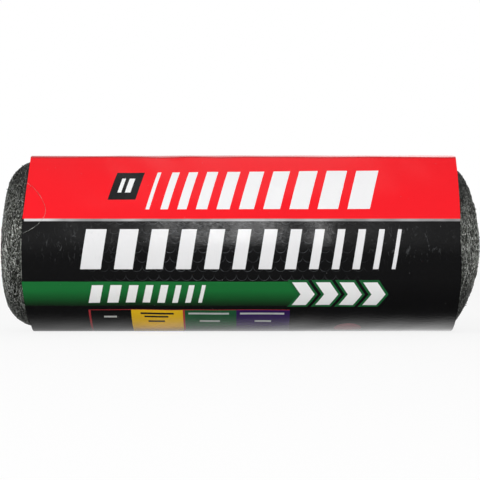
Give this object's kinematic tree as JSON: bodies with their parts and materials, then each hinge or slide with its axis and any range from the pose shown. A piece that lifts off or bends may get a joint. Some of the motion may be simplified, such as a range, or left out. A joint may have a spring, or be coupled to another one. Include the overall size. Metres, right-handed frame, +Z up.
{
  "type": "steel wool roll",
  "caption": "Roll of steel wool for rubbing down and polishing, lying on its side in a glued card sleeve that leaves both domed ends bare.",
  "frame": {"origin": "under the middle of the roll's whole length, on the surface that the flat spot rests on", "axes": "+X along the roll towards its more tapered end, -Y towards the side with the flattened panel between two folds, +Z up"},
  "size_m": [0.2372, 0.0884, 0.0873],
  "materials": {
    "steel_wool": "matted fine steel fibres, dull grey with bright glints",
    "printed_card": "black, red and green print under gloss varnish"
  },
  "bodies": {
    "root": {"wool_roll": "steel_wool", "printed_sleeve": "printed_card"}
  },
  "joints": []
}
